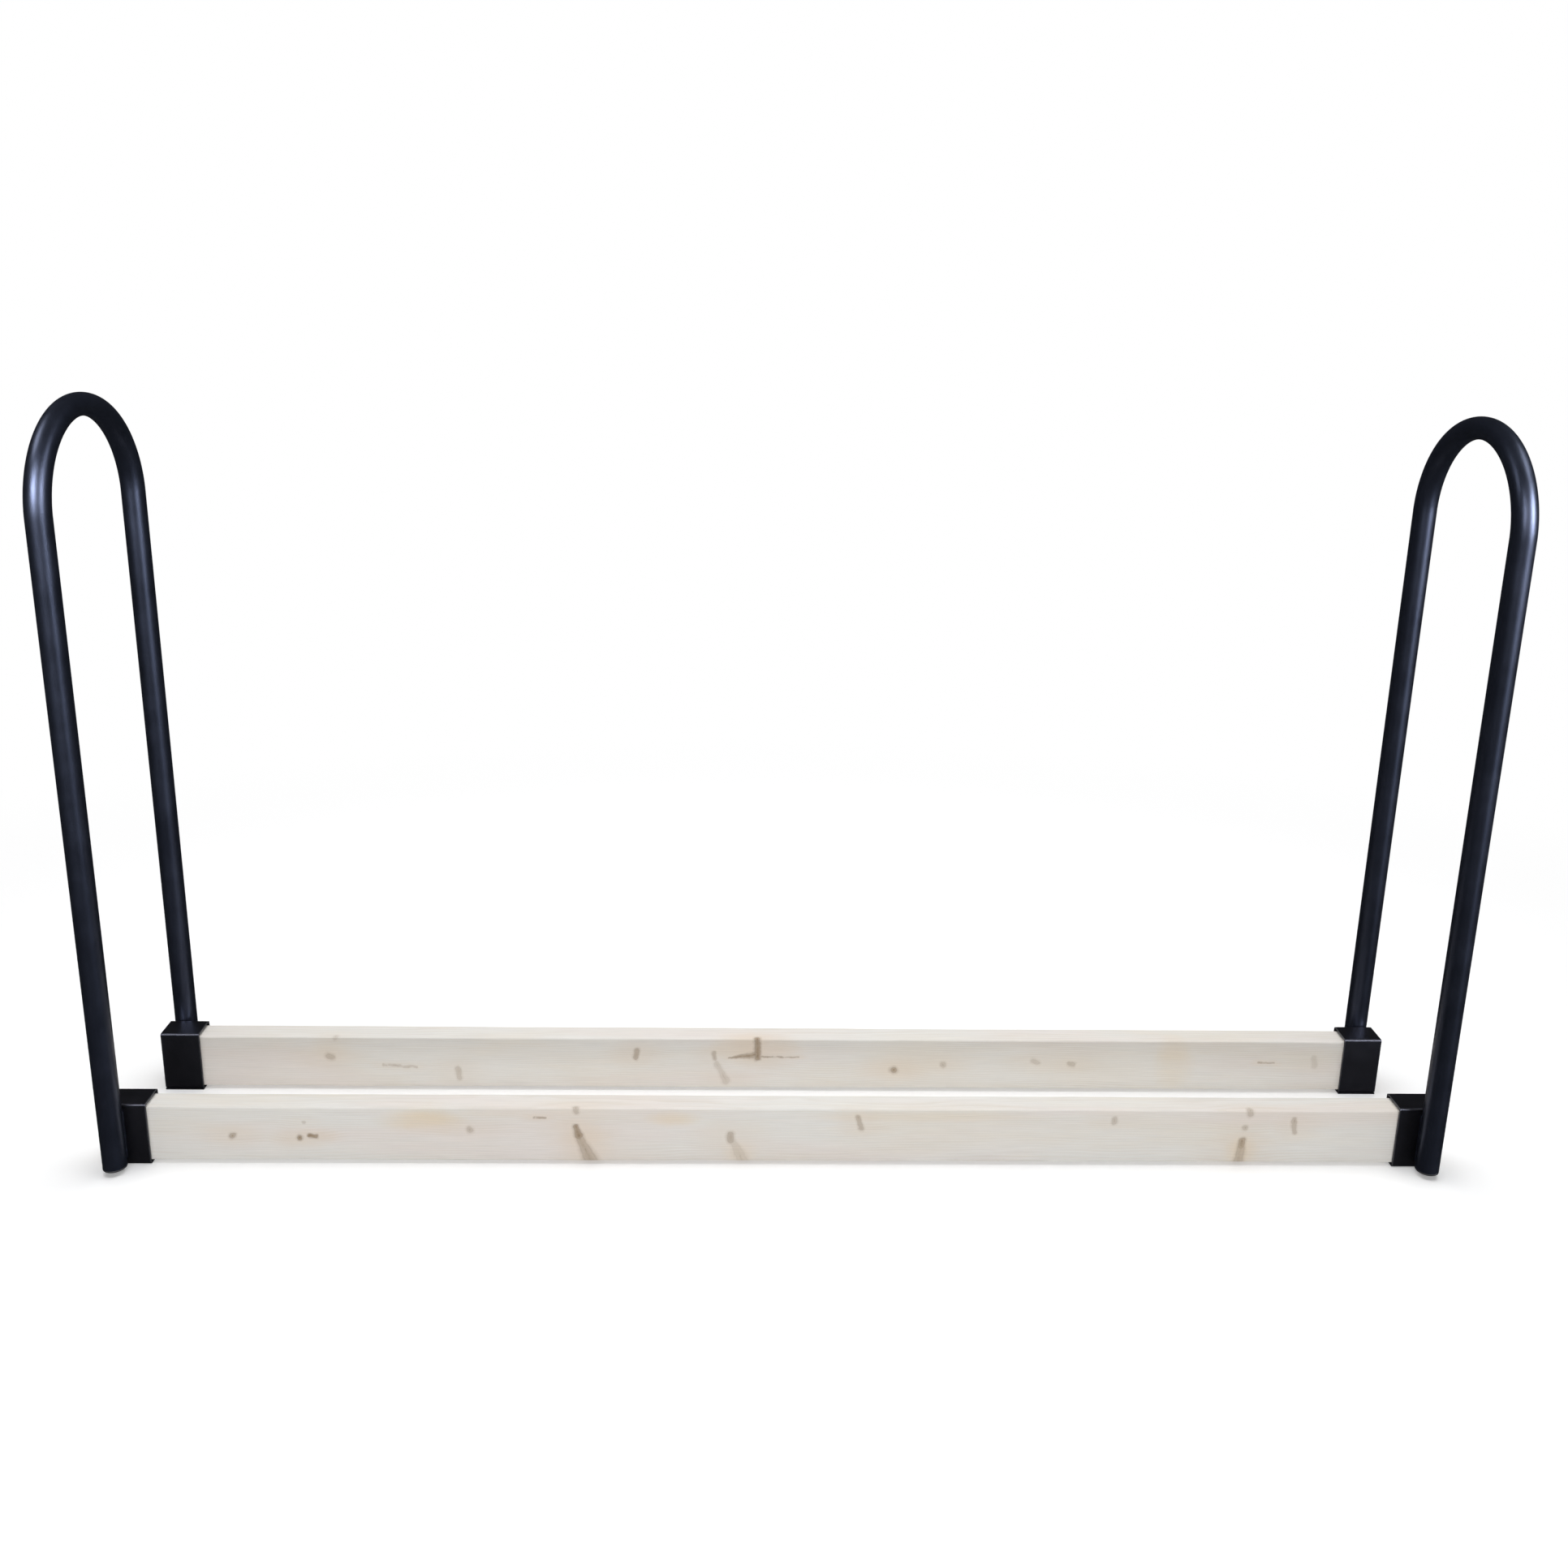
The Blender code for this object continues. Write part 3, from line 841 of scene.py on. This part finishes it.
# One barbed rib, as (share of the pitch below the rib's top, whether it is at its crest).
CAP_RIB_STEPS = ((0.0, False), (0.45, True), (0.5, True), (0.55, False))
CAP_RIB_SPACE = 0.35
# The underside's ring, as (share of the radius, depth), and the mark of its moulding gate.
CAP_RING = ((0.62, 0.0), (0.60, 0.0004), (0.52, 0.0004), (0.50, 0.0))
CAP_GATE = ((0.0016, 0.0), (0.0013, 0.0005), (0.0, 0.0005))


def foot_cap(side, end, material):
    """A flanged insert with a ribbed hollow stem and a shallow ring on its underside."""
    node = f"{side}_{end}_foot_cap"
    low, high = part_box(node)
    tube_low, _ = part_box(f"{side}_upright_tube")
    radius = (high.x - low.x) / 2
    head = tube_low.z - low.z - HOLE_PLAY
    top = high.z - low.z
    stem = radius - TUBE_WALL - HOLE_PLAY
    core = stem - CAP_RIB_HEIGHT
    inside = core - CAP_STEM_WALL
    pitch = (top - head) / (CAP_RIBS + 0.5)
    profile = [(0.0, head + CAP_CHAMFER), (inside, head + CAP_CHAMFER), (inside, top)]
    profile += [(core - CAP_CHAMFER, top), (core, top - CAP_CHAMFER)]
    for rib in range(CAP_RIBS):
        rib_top = top - (rib + CAP_RIB_SPACE) * pitch
        for share, at_crest in CAP_RIB_STEPS:
            profile.append((stem if at_crest else core, rib_top - share * pitch))
    profile.append((core, head))
    quarter = [math.radians(90) * step / CAP_EDGE_STEPS for step in range(CAP_EDGE_STEPS + 1)]
    for angle in quarter:
        in_by, down_by = CAP_EDGE * (1 - math.sin(angle)), CAP_EDGE * (1 - math.cos(angle))
        profile.append((radius - in_by, head - down_by))
    for angle in quarter:
        in_by, up_by = CAP_EDGE * (1 - math.cos(angle)), CAP_EDGE * (1 - math.sin(angle))
        profile.append((radius - in_by, up_by))
    profile += [(radius * share, depth) for share, depth in CAP_RING]
    profile += CAP_GATE
    obj = mesh_object(f"{side}_{end}_cap", *turned(profile, CAP_SIDES), material, CAP_SMOOTH_ANGLE)
    obj.data.transform(Matrix.Translation(((low.x + high.x) / 2, (low.y + high.y) / 2, low.z)))
    return finished(obj, "cap_plastic", node)


# ---------------------------------------------------------------- screws

SCREW_SHANK = 0.0021
SCREW_CORE = 0.0014
SCREW_HEAD_HEIGHT = 0.0022
SCREW_HEAD_EDGE = 0.0004
SCREW_RIM = 0.0002
SCREW_PLAIN_SHANK = 0.004
SCREW_RUN_OUT = 0.0005
SCREW_SIDES = 32
THREAD_PITCH = 0.0022
THREAD_ROWS_PER_TURN = 12
THREAD_SHARPNESS = 2.2
SCREW_TIP = 0.005
SCREW_TIP_RADIUS = 0.00002
# The cross recess: one arm as (along, across), and its (z, size) from mouth to floor.
DRIVE_ARM = ((0.00065, -0.00065), (0.0023, -0.0004), (0.0023, 0.0004))
DRIVE_LEVELS = ((-0.001, 1.1), (0.0, 1.0), (0.0014, 0.55))


def screw(side, end, number, material):
    """A countersunk wood screw with a helical thread, tip up, and a cross recess in its head."""
    node = f"{side}_{end}_screw_{number}"
    low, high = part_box(node)
    head = (high.x - low.x) / 2
    length = high.z - low.z
    shank_end = SCREW_HEAD_HEIGHT + SCREW_PLAIN_SHANK
    rows = [(head - SCREW_RIM, 0.0, 0.0), (head, SCREW_RIM, 0.0), (head, SCREW_HEAD_EDGE, 0.0)]
    rows += [(SCREW_SHANK, SCREW_HEAD_HEIGHT, 0.0), (SCREW_SHANK, shank_end, 0.0)]
    thread_start = shank_end + SCREW_RUN_OUT
    turns = (length - thread_start) / THREAD_PITCH
    steps = round(turns * THREAD_ROWS_PER_TURN)
    for step in range(steps):
        z = thread_start + (length - thread_start) * step / steps
        point = min(1.0, (length - z) / SCREW_TIP)
        rows.append((SCREW_CORE * point + SCREW_TIP_RADIUS, z, (SCREW_SHANK - SCREW_CORE) * point))
    rings = []
    for radius, z, crest in rows:
        ring = []
        for i in range(SCREW_SIDES):
            turn = i / SCREW_SIDES
            phase = (z / THREAD_PITCH - turn) % 1.0
            r = radius + crest * max(0.0, 1.0 - abs(2 * phase - 1.0) * THREAD_SHARPNESS)
            ring.append((r * math.cos(2 * math.pi * turn), r * math.sin(2 * math.pi * turn), z))
        rings.append(ring)
    rings.append([(0.0, 0.0, length)] * SCREW_SIDES)
    obj = mesh_object(f"{node}_threaded", *lofted(rings), material)
    arms = []
    for arm in range(4):
        turn = Matrix.Rotation(math.radians(90) * arm, 3, "Z")
        arms += [turn @ Vector((along, across, 0.0)) for along, across in DRIVE_ARM]
    levels = [[point * size + UP * z for point in arms] for z, size in DRIVE_LEVELS]
    drive = mesh_object("drive", *lofted(levels), material)
    cut_away(obj, [drive])
    obj.data.transform(Matrix.Translation(((low.x + high.x) / 2, (low.y + high.y) / 2, low.z)))
    return finished(obj, "screw_steel", node)


# ---------------------------------------------------------------- building the rack

THROUGH_DEPTH = 0.045
THROUGH_LEAN = 0.004
SPIKE_SUNK = 0.3


def through(x, z, face_y, radius, strength):
    """A knot that goes in at the board's front face and comes out, a little aside, at its back."""
    out = (x + THROUGH_LEAN, face_y + THROUGH_DEPTH, z - THROUGH_LEAN)
    return ((x, face_y, z), out, radius, 0.0, strength)


def spike(x, z, end_x, end_z, face_y, radius, strength, growth=0.0):
    """A knot cut along its length, so that it lies in the face; growth widens its far end."""
    depth = face_y + radius * SPIKE_SUNK
    return ((x, depth, z), (end_x, depth, end_z), radius, growth, strength)


def hidden(x, z, end_x, end_z, back_y, radius, strength, growth=0.0):
    """A spike in the board's back face, which the photograph doesn't show."""
    return spike(x, z, end_x, end_z, back_y - radius, radius, strength, growth)


FRONT_FACE, FRONT_BACK = (corner.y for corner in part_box("front_rail"))
REAR_FACE, REAR_BACK = (corner.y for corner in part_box("rear_rail"))

FRONT_KNOTS = [
    through(-0.813, 0.047, FRONT_FACE, 0.0064, 0.70),
    through(-0.714, 0.043, FRONT_FACE, 0.0058, 0.95),
    spike(-0.700, 0.047, -0.690, 0.046, FRONT_FACE, 0.0046, 1.0),
    through(-0.706, 0.070, FRONT_FACE, 0.0034, 0.30),
    through(-0.462, 0.058, FRONT_FACE, 0.0070, 0.46),
    spike(-0.366, 0.078, -0.349, 0.078, FRONT_FACE, 0.0024, 0.62),
    spike(-0.304, 0.098, -0.303, 0.088, FRONT_FACE, 0.0060, 0.46),
    spike(-0.305, 0.064, -0.300, 0.048, FRONT_FACE, 0.0052, 0.95, 0.0020),
    spike(-0.302, 0.052, -0.281, 0.000, FRONT_FACE, 0.0064, 0.60, 0.0080),
    spike(-0.074, 0.050, -0.073, 0.042, FRONT_FACE, 0.0074, 0.62),
    spike(-0.070, 0.038, -0.055, 0.004, FRONT_FACE, 0.0064, 0.26, 0.0060),
    spike(0.117, 0.080, 0.122, 0.062, FRONT_FACE, 0.0054, 0.58),
    spike(0.504, 0.080, 0.504, 0.074, FRONT_FACE, 0.0052, 0.42),
    spike(0.709, 0.099, 0.709, 0.089, FRONT_FACE, 0.0068, 0.50),
    through(0.704, 0.065, FRONT_FACE, 0.0058, 0.46),
    spike(0.702, 0.044, 0.701, 0.034, FRONT_FACE, 0.0062, 0.80),
    spike(0.701, 0.034, 0.699, 0.004, FRONT_FACE, 0.0074, 0.55, 0.0025),
    spike(0.777, 0.080, 0.780, 0.058, FRONT_FACE, 0.0050, 0.52),
    hidden(-0.180, 0.070, -0.186, 0.052, FRONT_BACK, 0.0060, 0.55),
    hidden(0.395, 0.060, 0.412, 0.030, FRONT_BACK, 0.0058, 0.60, 0.0030),
]
FRONT_STAINS = [
    ((-0.530, FRONT_FACE, 0.072), (0.085, 0.05, 0.032), 1.0),
    ((-0.545, FRONT_FACE, 0.066), (0.040, 0.05, 0.020), 1.0),
    ((-0.163, FRONT_FACE, 0.078), (0.060, 0.05, 0.020), 0.80),
    ((-0.290, FRONT_FACE, 0.030), (0.050, 0.05, 0.060), 0.60),
    ((-0.060, FRONT_FACE, 0.018), (0.040, 0.05, 0.030), 0.50),
    ((0.701, FRONT_FACE, 0.025), (0.036, 0.05, 0.040), 0.65),
    ((0.230, FRONT_FACE, 0.082), (0.260, 0.05, 0.018), 0.45),
    ((-0.380, FRONT_FACE, 0.086), (0.180, 0.05, 0.014), 0.38),
]
REAR_KNOTS = [
    spike(-0.731, 0.060, -0.726, 0.058, REAR_FACE, 0.0074, 0.48),
    spike(-0.718, 0.101, -0.717, 0.094, REAR_FACE, 0.0064, 0.26),
    spike(-0.643, 0.045, -0.590, 0.041, REAR_FACE, 0.0030, 0.34),
    spike(-0.523, 0.038, -0.521, 0.022, REAR_FACE, 0.0062, 0.40),
    spike(-0.231, 0.074, -0.233, 0.060, REAR_FACE, 0.0058, 0.66),
    spike(-0.105, 0.070, -0.104, 0.058, REAR_FACE, 0.0048, 0.50),
    spike(-0.101, 0.050, -0.085, 0.018, REAR_FACE, 0.0054, 0.30, 0.0030),
    spike(-0.034, 0.104, -0.034, 0.060, REAR_FACE, 0.0066, 0.92),
    spike(-0.080, 0.060, -0.038, 0.066, REAR_FACE, 0.0020, 0.72, 0.0052),
    spike(-0.034, 0.0625, 0.034, 0.0615, REAR_FACE, 0.0022, 0.58, -0.0006),
    through(0.191, 0.039, REAR_FACE, 0.0078, 0.85),
    through(0.272, 0.049, REAR_FACE, 0.0064, 0.40),
    spike(0.420, 0.058, 0.429, 0.054, REAR_FACE, 0.0060, 0.34),
    spike(0.481, 0.052, 0.488, 0.051, REAR_FACE, 0.0054, 0.44),
    spike(0.796, 0.0555, 0.822, 0.055, REAR_FACE, 0.0020, 0.50),
    spike(0.889, 0.064, 0.891, 0.050, REAR_FACE, 0.0062, 0.22),
    hidden(-0.560, 0.078, -0.552, 0.048, REAR_BACK, 0.0058, 0.70, 0.0020),
    hidden(-0.300, 0.040, -0.294, 0.036, REAR_BACK, 0.0070, 0.50),
    hidden(0.020, 0.066, 0.052, 0.063, REAR_BACK, 0.0030, 0.55),
    hidden(0.505, 0.070, 0.494, 0.020, REAR_BACK, 0.0060, 0.62, 0.0040),
    hidden(0.760, 0.052, 0.765, 0.048, REAR_BACK, 0.0064, 0.60),
]
REAR_STAINS = [
    ((-0.728, REAR_FACE, 0.070), (0.050, 0.05, 0.040), 0.30),
    ((-0.060, REAR_FACE, 0.078), (0.075, 0.05, 0.030), 0.60),
    ((0.010, REAR_FACE, 0.076), (0.045, 0.05, 0.022), 0.45),
    ((0.230, REAR_FACE, 0.060), (0.130, 0.05, 0.060), 0.25),
    ((0.654, REAR_FACE, 0.060), (0.050, 0.05, 0.080), 0.55),
    ((0.520, REAR_FACE, 0.050), (0.180, 0.05, 0.060), 0.22),
    ((0.500, REAR_BACK, 0.040), (0.050, 0.02, 0.040), 0.60),
    ((-0.556, REAR_BACK, 0.062), (0.045, 0.02, 0.035), 0.60),
]

# Each board's pith line, (y, z), and the shift that gives it its own grain.
FRONT_PITH = (-0.072, -0.030)
FRONT_SHIFT = (3.1, 0.7, 1.9)
REAR_PITH = (0.141, 0.160)
REAR_SHIFT = (7.4, 2.3, 5.2)

KNOT = knot_group()
# The sockets' lighter edges: partly rubbed wear, partly a painted edge highlight.
SOCKET_WEAR_AND_SHEEN = box_edge_wear_and_sheen(*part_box("right_rear_socket"))
SOCKET_COLOURS = (SOCKET_DARK, SOCKET_LIGHT, SOCKET_GLOSS_TINT)
MATERIALS = {
    "coat": powder_coat("powder_coat", COAT_DARK, COAT_LIGHT, COAT_GLOSS_TINT),
    "socket": powder_coat("socket_coat", *SOCKET_COLOURS, SOCKET_WEAR_AND_SHEEN),
    "front": spruce("front_spruce", FRONT_PITH, FRONT_SHIFT, FRONT_KNOTS, FRONT_STAINS),
    "rear": spruce("rear_spruce", REAR_PITH, REAR_SHIFT, REAR_KNOTS, REAR_STAINS),
    "plastic": moulded_plastic("cap_plastic"),
    "screw": black_oxide("screw_steel"),
}

for end in ENDS:
    rail(end, MATERIALS[end])
for side, _ in SIDES:
    upright(side, MATERIALS["coat"])
    for end in ENDS:
        socket(side, end, MATERIALS["socket"])
        foot_cap(side, end, MATERIALS["plastic"])
        for place in ("inner", "outer"):
            weld(side, end, place, MATERIALS["coat"])
        for number in (1, 2):
            screw(side, end, number, MATERIALS["screw"])


# ---------------------------------------------------------------- studio

WHITE = (1.0, 1.0, 1.0)
FLOOR_RADIUS = 14.0
FLOOR_SIDES = 96
FLOOR_ALBEDO = (0.90, 0.90, 0.90)
FLOOR_ROUGHNESS = 0.9
FLOOR_SPECULAR = 0.1
FLOOR_GLOW = 0.20
# The floor turns to plain white between these distances, measured shorter along X.
FLOOR_NEAR = 0.7
FLOOR_FAR = 2.0
FLOOR_X_SHARE = 0.7


def floor():
    """A plain white floor whose far part glows as the backdrop does, so that no horizon shows."""
    material, nodes, shader, position = new_material("studio_floor")
    shader.inputs["Base Color"].default_value = rgba(FLOOR_ALBEDO)
    shader.inputs["Roughness"].default_value = FLOOR_ROUGHNESS
    shader.inputs["Specular IOR Level"].default_value = FLOOR_SPECULAR
    shader.inputs["Emission Color"].default_value = rgba(WHITE)
    shader.inputs["Emission Strength"].default_value = FLOOR_GLOW
    glow = nodes.add("ShaderNodeEmission", {"Color": rgba(WHITE)})
    x, y, _ = nodes.split(position)
    from_middle = nodes.join(nodes.math("MULTIPLY", x, FLOOR_X_SHARE), y, 0.0)
    far = nodes.spread(nodes.vector("LENGTH", from_middle), FLOOR_NEAR, FLOOR_FAR)
    mixed = nodes.add("ShaderNodeMixShader", {0: far, 1: shader.outputs[0], 2: glow.outputs[0]})
    output = material.node_tree.nodes["Material Output"]
    nodes.feed(output.inputs["Surface"], mixed.outputs[0])
    ring = circle(FLOOR_RADIUS, 0.0, FLOOR_SIDES)
    obj = mesh_object("studio_floor", ring, [tuple(range(FLOOR_SIDES))], material)
    obj.visible_glossy = False


BACKDROP_TINT = (0.93, 0.96, 1.0)
BACKDROP_AS_LIGHT = 0.11
BACKDROP_LESS_IN_GLOSS = -0.085


def backdrop():
    """White to the eye; dimmer as a light and in reflections, so that black stays black."""
    world = bpy.data.worlds.new("studio")
    bpy.context.scene.world = world
    world.use_nodes = True
    nodes = Nodes(world.node_tree)
    path = nodes.add("ShaderNodeLightPath").outputs
    seen = path["Is Camera Ray"]
    strength = nodes.spread(seen, 0.0, 1.0, BACKDROP_AS_LIGHT, 1.0, smooth=False)
    in_gloss = path["Is Glossy Ray"]
    strength = nodes.math("MULTIPLY_ADD", in_gloss, BACKDROP_LESS_IN_GLOSS, strength)
    background = world.node_tree.nodes["Background"]
    nodes.feed(background.inputs["Color"], nodes.blend(seen, BACKDROP_TINT, WHITE))
    nodes.feed(background.inputs["Strength"], strength)


def softbox(name, place, target, width, height, glow, colour=WHITE, spread=180.0):
    """A rectangular light aimed at target, of radiance glow along that line; a spread below 180
    degrees keeps it to a cone, as a grid does, and lets it light reflections only."""
    light = bpy.data.lights.new(name, "AREA")
    light.shape = "RECTANGLE"
    light.size = width
    light.size_y = height
    light.energy = glow * math.pi * width * height
    gridded = spread < 180.0
    if gridded:
        half = math.radians(spread / 2)
        light.spread = 2 * half
        light.energy *= 1.0 - half / math.tan(half)
    light.color = colour
    obj = bpy.data.objects.new(name, light)
    bpy.context.scene.collection.objects.link(obj)
    obj.location = place
    obj.rotation_euler = (Vector(target) - Vector(place)).to_track_quat("-Z", "Y").to_euler()
    obj.visible_diffuse = not gridded
    return obj


CAMERA_PLACE = (-0.0478, -1.9310, 1.2595)
CAMERA_YAW = math.radians(-1.61)
CAMERA_PITCH = math.radians(-14.41)
CAMERA_ROLL = math.radians(1.12)
CAMERA_SENSOR = 36.0
CAMERA_LENS = 31.457
CAMERA_SHIFT = (-0.0046, -0.0819)
CAMERA_REACH = 100.0


def camera():
    """The photograph's camera: yaw to the left, then pitch up, then roll."""
    data = bpy.data.cameras.new("camera")
    data.sensor_width = CAMERA_SENSOR
    data.lens = CAMERA_LENS
    data.shift_x, data.shift_y = CAMERA_SHIFT
    data.clip_end = CAMERA_REACH
    obj = bpy.data.objects.new("camera", data)
    bpy.context.scene.collection.objects.link(obj)
    right = Vector((math.cos(CAMERA_YAW), math.sin(CAMERA_YAW), 0.0))
    level = Vector((-math.sin(CAMERA_YAW), math.cos(CAMERA_YAW), 0.0))
    forward = level * math.cos(CAMERA_PITCH) + UP * math.sin(CAMERA_PITCH)
    up = right.cross(forward)
    rolled_right = right * math.cos(CAMERA_ROLL) + up * math.sin(CAMERA_ROLL)
    rolled_up = up * math.cos(CAMERA_ROLL) - right * math.sin(CAMERA_ROLL)
    turn = Matrix((rolled_right, rolled_up, -forward)).transposed().to_4x4()
    obj.matrix_world = Matrix.Translation(CAMERA_PLACE) @ turn
    bpy.context.scene.camera = obj


WINDOW_BLUE = (0.74, 0.84, 1.0)
WINDOW_WHITE = (0.90, 0.94, 1.0)
# Each light as softbox takes it: name, place, target, width, height, glow, colour, spread.
LIGHTS = [
    ("front_fill", (0.0, -4.2, 2.6), (0.0, 0.0, 0.3), 4.0, 1.6, 3.25),
    ("left_window", (-1.45, -3.3, 2.35), (-1.05, 0.0, 1.0), 1.9, 1.3, 48.0, WINDOW_WHITE, 60.0),
    ("right_window", (3.30, -2.5, 2.05), (0.60, 0.1, 1.0), 1.9, 2.0, 45.0, WINDOW_WHITE, 60.0),
    ("window_foot", (3.2, -3.3, -0.10), (0.0, 0.0, -0.10), 1.6, 1.8, 1.10, WINDOW_BLUE, 179.0),
]
for side, sign in SIDES:
    shoulder, crown = (sign * 2.6, -0.6, 3.5), (sign * 0.97, 0.0, 1.05)
    LIGHTS.append((f"{side}_shoulder", shoulder, crown, 1.5, 1.2, 7.5, WINDOW_WHITE, 90.0))

floor()
backdrop()
overhead = softbox("overhead", (0.0, 0.4, 3.4), (0.0, 0.0, 0.0), 5.0, 3.2, 2.9)
overhead.visible_glossy = False
for light in LIGHTS:
    softbox(*light)
camera()
bpy.context.scene.view_settings.view_transform = "Standard"
